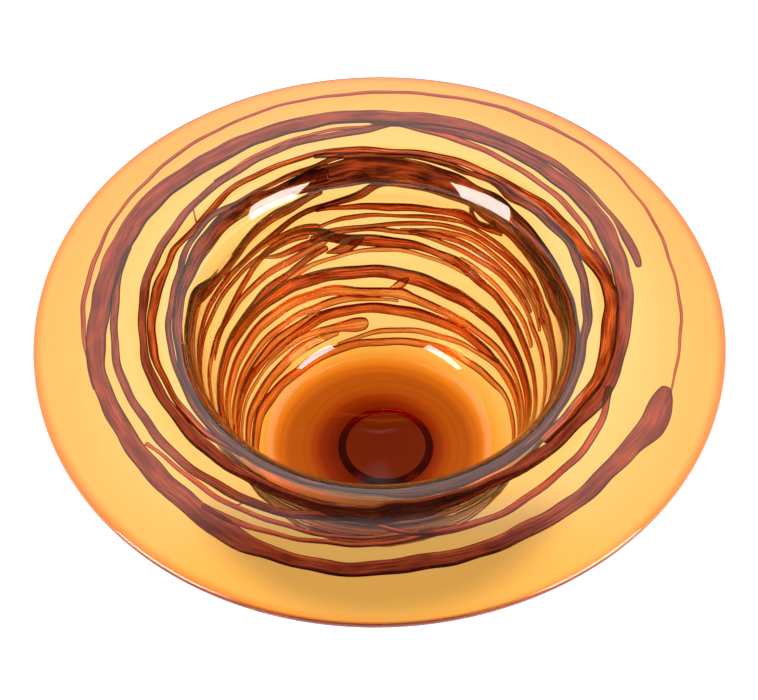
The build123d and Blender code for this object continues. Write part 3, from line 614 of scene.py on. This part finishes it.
# %% Laying every thread
def lay_family(threads, relief, boxiness, first_seed):
    """Every thread of one region, each with a seed of its own."""
    return [lay_thread(name + "_glass", between_edges(edges), relief, boxiness, first_seed + number)
            for number, (name, edges) in enumerate(threads.items())]


rim_pieces = lay_family(rim_threads, 0.0013, 3.0, 0)
neck_pieces = lay_family(neck_threads, 0.0015, 2.6, 20)
wall_pieces = lay_family(wall_threads, 0.0022, 1.9, 40)
strand_pieces = [lay_thread(name, stops, 0.0020, 1.9, 60 + number)
                 for number, (name, stops) in enumerate(strands.items())]
print("threads:", len(rim_pieces), "under the rim,", len(neck_pieces), "round the neck,",
      len(wall_pieces), "on the cup,", len(strand_pieces), "short strands")

# %% [markdown]
# ## The glass
#
# Glass is coloured in its depth: thin glass is pale and thick glass is deep, and only an absorbing
# volume does that. So the amber glass has a clear surface, with the slow waves of blown glass in its
# normals, and a volume that takes away a share of green and most of the blue in each millimetre.
# The threads are a darker glass of the same kind. Their colour was drawn out with them, in fine
# streaks along their length, so they use a map that runs along and across each thread.

# %% [markdown]
# ## Helpers for the materials
#
# A few short functions add nodes and shape masks, so that the finishes below read as recipes.

# %% Node helpers
def add_node(tree, kind, **settings):
    """A new node with its plain settings, such as operation='MULTIPLY'."""
    node = tree.nodes.new(kind)
    for name, value in settings.items():
        setattr(node, name, value)
    return node


def new_group(name, inputs, outputs):
    """An empty node group with named sockets; inputs are (name, socket type, start value)."""
    group = bpy.data.node_groups.new(name, "ShaderNodeTree")
    for socket, kind, start in inputs:
        made = group.interface.new_socket(name=socket, in_out="INPUT", socket_type=kind)
        if start is not None:
            made.default_value = start
    for socket, kind in outputs:
        group.interface.new_socket(name=socket, in_out="OUTPUT", socket_type=kind)
    return group, group.nodes.new("NodeGroupInput"), group.nodes.new("NodeGroupOutput")


def math_node(tree, operation, first, second=None):
    """One arithmetic step on sockets or plain numbers."""
    node = add_node(tree, "ShaderNodeMath", operation=operation)
    for socket, value in zip(node.inputs, (first, second)):
        if isinstance(value, (int, float)):
            socket.default_value = value
        elif value is not None:
            tree.links.new(value, socket)
    return node.outputs[0]


def fade(tree, value, low, high):
    """0 below low, 1 above high and a smooth change between, or the reverse if low is the larger."""
    node = add_node(tree, "ShaderNodeMapRange", interpolation_type="SMOOTHSTEP")
    tree.links.new(value, node.inputs["Value"])
    node.inputs["From Min"].default_value = low
    node.inputs["From Max"].default_value = high
    return node.outputs[0]


# %% [markdown]
# ## Shared effects
#
# The waves of the blown surface and the streaks of a drawn thread are made once, as groups.

# %% Effects that several finishes share
def make_waves():
    """Slow waves and faint ripples of a hand-blown wall: two scales of noise, as a height in metres."""
    group, given, result = new_group(
        "blown_waves",
        [("Vector", "NodeSocketVector", None), ("Slow waves", "NodeSocketFloat", 1.0),
         ("Ripples", "NodeSocketFloat", 1.0)],
        [("Height", "NodeSocketFloat")],
    )
    slow = add_node(group, "ShaderNodeTexNoise")
    slow.inputs["Scale"].default_value = 28
    slow.inputs["Detail"].default_value = 1
    fine = add_node(group, "ShaderNodeTexNoise")
    fine.inputs["Scale"].default_value = 110
    fine.inputs["Detail"].default_value = 1
    for noise in (slow, fine):
        group.links.new(given.outputs["Vector"], noise.inputs["Vector"])
    slow_part = math_node(group, "MULTIPLY", slow.outputs[0], given.outputs["Slow waves"])
    fine_part = math_node(group, "MULTIPLY", fine.outputs[0], given.outputs["Ripples"])
    total = math_node(group, "ADD", slow_part, math_node(group, "MULTIPLY", fine_part, 0.12))
    group.links.new(total, result.inputs["Height"])
    return group


def make_streaks():
    """Colour drawn out along a thread. U is metres along, and V goes once round the section in
    0.02, so cos(V) is the place across, from -1 to 1. Stretched noise gives streaks, a power of
    |across| the painted shade at the edges, for light bent away at a round thread's sides, and small
    cells the specks."""
    group, given, result = new_group(
        "drawn_streaks",
        [("Vector", "NodeSocketVector", None), ("Light", "NodeSocketColor", (0.8, 0.4, 0.3, 1)),
         ("Dark", "NodeSocketColor", (0.2, 0.05, 0.05, 1)), ("Streaks", "NodeSocketFloat", 1.0),
         ("Edges", "NodeSocketFloat", 0.6), ("Specks", "NodeSocketFloat", 0.2)],
        [("Color", "NodeSocketColor"), ("Height", "NodeSocketFloat")],
    )
    parts = add_node(group, "ShaderNodeSeparateXYZ")
    group.links.new(given.outputs["Vector"], parts.inputs[0])
    around_section = math_node(group, "MULTIPLY", parts.outputs["Y"], 2 * math.pi / 0.02)
    across = math_node(group, "COSINE", around_section)
    along = parts.outputs["X"]
    drawn = add_node(group, "ShaderNodeCombineXYZ")
    group.links.new(math_node(group, "MULTIPLY", along, 42.0), drawn.inputs["X"])
    group.links.new(math_node(group, "MULTIPLY", across, 3.2), drawn.inputs["Y"])
    streak = add_node(group, "ShaderNodeTexNoise")
    streak.inputs["Scale"].default_value = 1.0
    streak.inputs["Detail"].default_value = 4
    streak.inputs["Roughness"].default_value = 0.62
    group.links.new(drawn.outputs[0], streak.inputs["Vector"])
    spread = math_node(group, "MULTIPLY", math_node(group, "SUBTRACT", streak.outputs[0], 0.5), 4.5)
    streak_mask = math_node(group, "MULTIPLY", spread, given.outputs["Streaks"])
    # Painted shade at the thread's edges, standing in for light bent away at its round sides.
    edge = math_node(group, "POWER", math_node(group, "ABSOLUTE", across), 2.6)
    edge_shade_mask = math_node(group, "MULTIPLY", edge, given.outputs["Edges"])
    speck_place = add_node(group, "ShaderNodeCombineXYZ")
    group.links.new(math_node(group, "MULTIPLY", along, 620.0), speck_place.inputs["X"])
    group.links.new(math_node(group, "MULTIPLY", across, 3.4), speck_place.inputs["Y"])
    cells = add_node(group, "ShaderNodeTexVoronoi")
    cells.inputs["Scale"].default_value = 1.0
    group.links.new(speck_place.outputs[0], cells.inputs["Vector"])
    near_speck = math_node(group, "LESS_THAN", cells.outputs["Distance"], 0.13)
    speck_mask = math_node(group, "MULTIPLY", near_speck, given.outputs["Specks"])
    streaked = math_node(group, "ADD", streak_mask, 0.5)
    edged = math_node(group, "SUBTRACT", streaked, edge_shade_mask)
    lightness = math_node(group, "ADD", edged, speck_mask)
    blend = add_node(group, "ShaderNodeMix", data_type="RGBA", clamp_factor=True)
    group.links.new(lightness, blend.inputs["Factor"])
    group.links.new(given.outputs["Dark"], blend.inputs[6])
    group.links.new(given.outputs["Light"], blend.inputs[7])
    group.links.new(blend.outputs[2], result.inputs["Color"])
    group.links.new(streak.outputs[0], result.inputs["Height"])
    return group


blown_waves = make_waves()
drawn_streaks = make_streaks()
print("shared effects:", blown_waves.name, drawn_streaks.name)


# %% [markdown]
# ## The finishes
#
# The amber is clear at its surface and coloured in its depth. The threads go from plum under the rim
# to nearly black round the neck, deep red-brown on the upper cup and pale orange near the foot.

# %% Finishes
def absorb(tree, output, colour, density):
    """Fills the piece with a volume that absorbs (1 - colour) * density per metre."""
    volume = add_node(tree, "ShaderNodeVolumeAbsorption")
    volume.inputs["Color"].default_value = (*colour, 1)
    volume.inputs["Density"].default_value = density
    tree.links.new(volume.outputs[0], output.inputs["Volume"])


def within(tree, value, low, high, soft):
    """A soft mask that is 1 where value lies between low and high."""
    above = fade(tree, value, low - soft, low)
    below = fade(tree, value, high + soft, high)
    return math_node(tree, "MULTIPLY", above, below)


def amber_finish():
    """Clear glass with slow waves in its surface and amber in its depth. Its surface colour carries
    painted shade, each a mask of the distance from the axis: deeper at the rim's edge, for the longer
    path of light through its rounded edge, dark along the ground ring of the pontil, where light is
    turned away, and in rings on the foot, for the light bent by its faint turning rings."""
    material = bpy.data.materials.new("amber_glass")
    material.use_nodes = True
    tree = material.node_tree
    shader = tree.nodes["Principled BSDF"]
    output = tree.nodes["Material Output"]
    shader.inputs["Transmission Weight"].default_value = 1.0
    shader.inputs["IOR"].default_value = 1.5
    shader.inputs["Roughness"].default_value = 0.0
    place = add_node(tree, "ShaderNodeTexCoord")
    parts = add_node(tree, "ShaderNodeSeparateXYZ")
    tree.links.new(place.outputs["Object"], parts.inputs[0])

    def distance_from(x):
        """Distance from an upright line at x."""
        offset = math_node(tree, "SUBTRACT", parts.outputs["X"], x)
        aside = math_node(tree, "POWER", math_node(tree, "ABSOLUTE", offset), 2.0)
        ahead = math_node(tree, "POWER", math_node(tree, "ABSOLUTE", parts.outputs["Y"]), 2.0)
        return math_node(tree, "SQRT", math_node(tree, "ADD", aside, ahead))

    from_axis = distance_from(0.0)
    from_pontil = distance_from(pontil_shift)
    under_side = fade(tree, parts.outputs["Z"], 0.0045, 0.0035)
    # Painted shade: a deeper tint at the rim's edge stands in for the longer path of light through its
    # rounded edge.
    rim_depth_shade = fade(tree, from_axis, rim_radius - 0.006, rim_radius + 0.001)
    # Painted shade: a nearly black ring along the pontil's ground bevel stands in for light turned away by
    # the bevel.
    bevel = within(tree, from_pontil, pontil_radius - pontil_bevel + 0.0008, pontil_radius, 0.0006)
    pontil_ring_shade = math_node(tree, "MULTIPLY", under_side, bevel)
    # Painted shade rings: they stand in for the light bent by the foot's faint turning rings, which have no
    # shape here.
    wave = math_node(tree, "SINE", math_node(tree, "MULTIPLY", from_pontil, 2 * math.pi / ring_spacing))
    rings = math_node(tree, "MULTIPLY", under_side, within(tree, from_pontil, 0.029, 0.043, 0.003))
    turned = math_node(tree, "MULTIPLY", math_node(tree, "MAXIMUM", wave, 0.0), rings)

    def tinted(under, mask, colour):
        """Mixes a colour over another by a mask."""
        node = add_node(tree, "ShaderNodeMix", data_type="RGBA")
        tree.links.new(mask, node.inputs["Factor"])
        if isinstance(under, tuple):
            node.inputs[6].default_value = under
        else:
            tree.links.new(under, node.inputs[6])
        node.inputs[7].default_value = colour
        return node.outputs[2]

    # The tints below are painted shade: deeper at the rim's edge, nearly black on the pontil's ring, and in
    # rings on the foot.
    colour = tinted((1.0, 0.985, 0.95, 1), rim_depth_shade, (0.90, 0.40, 0.20, 1))
    colour = tinted(colour, pontil_ring_shade, (0.025, 0.015, 0.015, 1))
    colour = tinted(colour, math_node(tree, "MULTIPLY", turned, 0.8), (0.55, 0.34, 0.24, 1))
    tree.links.new(colour, shader.inputs["Base Color"])
    waves = add_node(tree, "ShaderNodeGroup", node_tree=blown_waves)
    bump = add_node(tree, "ShaderNodeBump")
    bump.inputs["Strength"].default_value = 1.0
    bump.inputs["Distance"].default_value = 0.00030
    tree.links.new(place.outputs["Object"], waves.inputs["Vector"])
    tree.links.new(waves.outputs["Height"], bump.inputs["Height"])
    tree.links.new(bump.outputs[0], shader.inputs["Normal"])
    absorb(tree, output, (0.958, 0.668, 0.0), 610)
    return material


def thread_finish(name, light, dark, streaks, edges, specks, depth_colour, density):
    """Darker glass with light and dark streaks drawn along it, painted shade at its edges as strong as
    edges, and its own colour in the depth.
    """
    material = bpy.data.materials.new(name)
    material.use_nodes = True
    tree = material.node_tree
    shader = tree.nodes["Principled BSDF"]
    output = tree.nodes["Material Output"]
    shader.inputs["Transmission Weight"].default_value = 1.0
    shader.inputs["IOR"].default_value = 1.5
    shader.inputs["Roughness"].default_value = 0.02
    place = add_node(tree, "ShaderNodeTexCoord")
    pattern = add_node(tree, "ShaderNodeGroup", node_tree=drawn_streaks)
    pattern.inputs["Light"].default_value = (*light, 1)
    pattern.inputs["Dark"].default_value = (*dark, 1)
    pattern.inputs["Streaks"].default_value = streaks
    # How much painted shade darkens the thread's edges.
    pattern.inputs["Edges"].default_value = edges
    pattern.inputs["Specks"].default_value = specks
    tree.links.new(place.outputs["UV"], pattern.inputs["Vector"])
    tree.links.new(pattern.outputs["Color"], shader.inputs["Base Color"])
    bump = add_node(tree, "ShaderNodeBump")
    bump.inputs["Strength"].default_value = 0.35
    bump.inputs["Distance"].default_value = 0.0002
    tree.links.new(pattern.outputs["Height"], bump.inputs["Height"])
    tree.links.new(bump.outputs[0], shader.inputs["Normal"])
    absorb(tree, output, depth_colour, density)
    return material


amber_glass = amber_finish()
# The number after the streaks in each finish is the painted shade at the thread's edges.
plum_ribbon = thread_finish("plum_ribbon", (0.90, 0.44, 0.44), (0.26, 0.07, 0.09), 1.1, 0.35, 0.2,
                            (0.50, 0.10, 0.32), 850)
rim_strand = thread_finish("rim_strand", (0.98, 0.52, 0.40), (0.38, 0.09, 0.07), 1.0, 0.7, 0.0,
                           (0.75, 0.20, 0.15), 720)
neck_ribbon = thread_finish("neck_ribbon", (0.95, 0.42, 0.20), (0.08, 0.02, 0.015), 1.5, 0.6, 0.0,
                            (0.50, 0.08, 0.05), 1000)
deep_thread = thread_finish("deep_thread", (1.0, 0.52, 0.30), (0.17, 0.02, 0.01), 1.2, 1.1, 0.1,
                            (0.86, 0.28, 0.05), 560)
wall_thread = thread_finish("wall_thread", (1.0, 0.74, 0.50), (0.34, 0.06, 0.02), 1.0, 1.2, 0.0,
                            (0.95, 0.45, 0.10), 430)
pale_thread = thread_finish("pale_thread", (1.0, 0.86, 0.70), (0.55, 0.15, 0.05), 0.9, 1.1, 0.0,
                            (0.97, 0.60, 0.20), 330)

# %% Giving out the finishes
bowl.data.materials.append(amber_glass)
finish_of = {
    "wall_heel_trail": wall_thread, "lowest_trail": pale_thread, "low_parallel_trail": pale_thread,
    "rim_broad_trail": plum_ribbon, "neck_rising_trail": plum_ribbon, "left_long_trail": plum_ribbon,
    "wall_upper_trail": deep_thread, "wall_second_trail": deep_thread, "wall_climbing_trail": deep_thread,
    "wall_middle_trail": deep_thread, "wall_knot_trail": deep_thread, "wall_broad_trail": deep_thread,
    "wall_curl_trail": deep_thread, "wall_parallel_trail": pale_thread, "wall_light_trail": pale_thread,
    "wall_swelling_trail": pale_thread, "wall_slip_trail": pale_thread, "start_trail": pale_thread,
    "heel_strand": pale_thread, "swelling_bridge": pale_thread, "left_link": rim_strand,
    "bridge_back": rim_strand, "bridge_front": rim_strand, "neck_curl": neck_ribbon,
    "neck_upper_trail": deep_thread,
}
for pieces, usual in ((rim_pieces, rim_strand), (neck_pieces, neck_ribbon), (wall_pieces, wall_thread),
                      (strand_pieces, deep_thread)):
    for piece in pieces:
        piece.data.materials.append(finish_of.get(piece.name.removesuffix("_glass"), usual))

# %% Riding on the frame
for piece in rim_pieces + neck_pieces + wall_pieces:
    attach(piece, "root")
    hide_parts(piece.name.removesuffix("_glass"))
for piece in strand_pieces:
    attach(piece, "root")
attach(bowl, "root")
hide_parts("bowl_body")
for whole, other_half in (("neck_under_trail_glass", "neck_dip_trail"),
                          ("rim_broad_trail_glass", "rim_blunt_trail")):
    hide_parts(other_half)
laid_pieces = rim_pieces + neck_pieces + wall_pieces + strand_pieces
print("riding on the frame: the bowl and", len(laid_pieces), "threads and strands")

# %% [markdown]
# ## The floor
#
# A pale floor that glows softly is lit evenly under the glass too, as on a light table. Shadow is painted
# into its glow: darker and warmer under the foot, where the light has come through thick amber, darkest
# under the pontil, and darker in front of the bowl as the bowl's own shadow.

# %% Floor
floor_mesh = bpy.data.meshes.new("floor")
floor_half = 6.0
floor_mesh.from_pydata([(-floor_half, -floor_half, 0), (floor_half, -floor_half, 0),
                        (floor_half, floor_half, 0), (-floor_half, floor_half, 0)], [], [(0, 1, 2, 3)])
floor = bpy.data.objects.new("floor", floor_mesh)
bpy.context.scene.collection.objects.link(floor)
floor_finish = bpy.data.materials.new("pale_floor")
floor_finish.use_nodes = True
floor_tree = floor_finish.node_tree
floor_shader = floor_tree.nodes["Principled BSDF"]
floor_shader.inputs["Base Color"].default_value = (0.2, 0.2, 0.2, 1)
floor_shader.inputs["Roughness"].default_value = 1.0
floor_shader.inputs["Specular IOR Level"].default_value = 0.0
floor_place = add_node(floor_tree, "ShaderNodeTexCoord")
floor_parts = add_node(floor_tree, "ShaderNodeSeparateXYZ")
from_middle = add_node(floor_tree, "ShaderNodeVectorMath", operation="LENGTH")
floor_tree.links.new(floor_place.outputs["Object"], from_middle.inputs[0])
floor_tree.links.new(floor_place.outputs["Object"], floor_parts.inputs[0])
reach = from_middle.outputs["Value"]
# Painted shadow under the foot and the pontil, for light that has come through thick amber.
foot_shadow = fade(floor_tree, reach, 0.056, 0.045)
under_foot_shade = math_node(floor_tree, "MULTIPLY", foot_shadow, 0.52)
near_pontil_shade = math_node(floor_tree, "MULTIPLY", fade(floor_tree, reach, 0.037, 0.026), 0.20)
under_pontil_shade = math_node(floor_tree, "ADD", near_pontil_shade,
                         math_node(floor_tree, "MULTIPLY", fade(floor_tree, reach, 0.027, 0.022), 0.08))
# Painted shadow: the bowl's own shadow, falling on the floor in front of it.
front_shadow = math_node(floor_tree, "MULTIPLY", fade(floor_tree, reach, 0.112, 0.088),
                     fade(floor_tree, floor_parts.outputs["Y"], -0.012, -0.052))
shade = math_node(floor_tree, "ADD", math_node(floor_tree, "ADD", under_foot_shade, under_pontil_shade),
                  math_node(floor_tree, "MULTIPLY", front_shadow, 0.50))
glow = math_node(floor_tree, "MULTIPLY", math_node(floor_tree, "SUBTRACT", 1.0, shade), 1.12)
floor_tree.links.new(glow, floor_shader.inputs["Emission Strength"])
# The glow is painted warmer under the foot and redder under the pontil, as light come through the amber.
warm = add_node(floor_tree, "ShaderNodeMix", data_type="RGBA")
warm.inputs[6].default_value = (0.98, 0.99, 1.0, 1)
warm.inputs[7].default_value = (1.0, 0.74, 0.9, 1)
floor_tree.links.new(foot_shadow, warm.inputs["Factor"])
red = add_node(floor_tree, "ShaderNodeMix", data_type="RGBA")
red.inputs[7].default_value = (0.85, 0.30, 0.6, 1)
floor_tree.links.new(warm.outputs[2], red.inputs[6])
floor_tree.links.new(fade(floor_tree, reach, 0.040, 0.026), red.inputs["Factor"])
floor_tree.links.new(red.outputs[2], floor_shader.inputs["Emission Color"])
floor_mesh.materials.append(floor_finish)

# %% [markdown]
# ## The room
#
# The room is dark except for a low band all round and a high band behind the bowl, which the rim's
# upper face reflects as a faint sheen. A dark gap in the high band keeps the cup's floor deep.

# %% Room
world = bpy.data.worlds.new("studio")
bpy.context.scene.world = world
world.use_nodes = True
world_tree = world.node_tree
world_tree.nodes.clear()
sky_place = add_node(world_tree, "ShaderNodeTexCoord")
sky_parts = add_node(world_tree, "ShaderNodeSeparateXYZ")
world_tree.links.new(sky_place.outputs["Generated"], sky_parts.inputs[0])
rise = sky_parts.outputs["Z"]
behind_bowl = fade(world_tree, sky_parts.outputs["Y"], -0.1, 0.35)
low_band = fade(world_tree, rise, 0.26, 0.16)
high_band = math_node(world_tree, "MULTIPLY", behind_bowl, fade(world_tree, rise, 0.975, 0.90))
side_reach = math_node(world_tree, "ABSOLUTE", sky_parts.outputs["X"])
gap_height = math_node(world_tree, "MULTIPLY", fade(world_tree, rise, 0.72, 0.77),
                       fade(world_tree, rise, 0.93, 0.89))
gap = math_node(world_tree, "MULTIPLY", fade(world_tree, side_reach, 0.24, 0.15), gap_height)
high_band = math_node(world_tree, "MULTIPLY", high_band, math_node(world_tree, "SUBTRACT", 1.0, gap))
brightness = math_node(world_tree, "MAXIMUM", low_band, high_band)
sky_colour = add_node(world_tree, "ShaderNodeMix", data_type="RGBA")
sky_colour.inputs[6].default_value = (0.045, 0.045, 0.05, 1)
sky_colour.inputs[7].default_value = (1.45, 1.50, 1.62, 1)
world_tree.links.new(brightness, sky_colour.inputs["Factor"])
sky = add_node(world_tree, "ShaderNodeBackground")
sky_output = add_node(world_tree, "ShaderNodeOutputWorld")
world_tree.links.new(sky_colour.outputs[2], sky.inputs["Color"])
world_tree.links.new(sky.outputs[0], sky_output.inputs["Surface"])

# %% [markdown]
# ## Lamps
#
# One soft box at each side of the camera, low and wide, for the two window-shaped highlights on
# the inside of the neck.

# %% Soft boxes
def soft_box(name, direction, distance, width, height, radiance, aim=(0, 0, 0.1)):
    """A rectangular area light at distance along direction, turned to face aim. Its power is
    pi * area * radiance."""
    light = bpy.data.lights.new(name, "AREA")
    light.shape = "RECTANGLE"
    light.size = width
    light.size_y = height
    light.energy = math.pi * width * height * radiance
    light.color = (0.74, 0.88, 1.0)
    lamp = bpy.data.objects.new(name, light)
    lamp.location = np.asarray(aim) + np.asarray(direction) / np.linalg.norm(direction) * distance
    lamp.rotation_euler = (mathutils.Vector(aim) - lamp.location).to_track_quat("-Z", "Y").to_euler()
    bpy.context.scene.collection.objects.link(lamp)
    return lamp


for name, side in (("right_soft_box", 1), ("left_soft_box", -1)):
    soft_box(name, (side * 0.70, -0.46, 0.38), 1.6, 0.80, 1.05, 17)

# %% [markdown]
# ## The camera
#
# A long lens looks down at 53 degrees from the front.

# %% Camera
camera = bpy.data.cameras.new("camera")
camera.sensor_fit = "HORIZONTAL"
camera.sensor_width = 36
camera.lens = 115.779
camera.clip_end = 50
viewer = bpy.data.objects.new("camera", camera)
viewer.location = (-0.00007, -0.7116, 1.0261)
viewer.rotation_euler = (math.radians(37.107), 0, 0)
bpy.context.scene.collection.objects.link(viewer)
bpy.context.scene.camera = viewer
bpy.context.scene.view_settings.view_transform = "Standard"
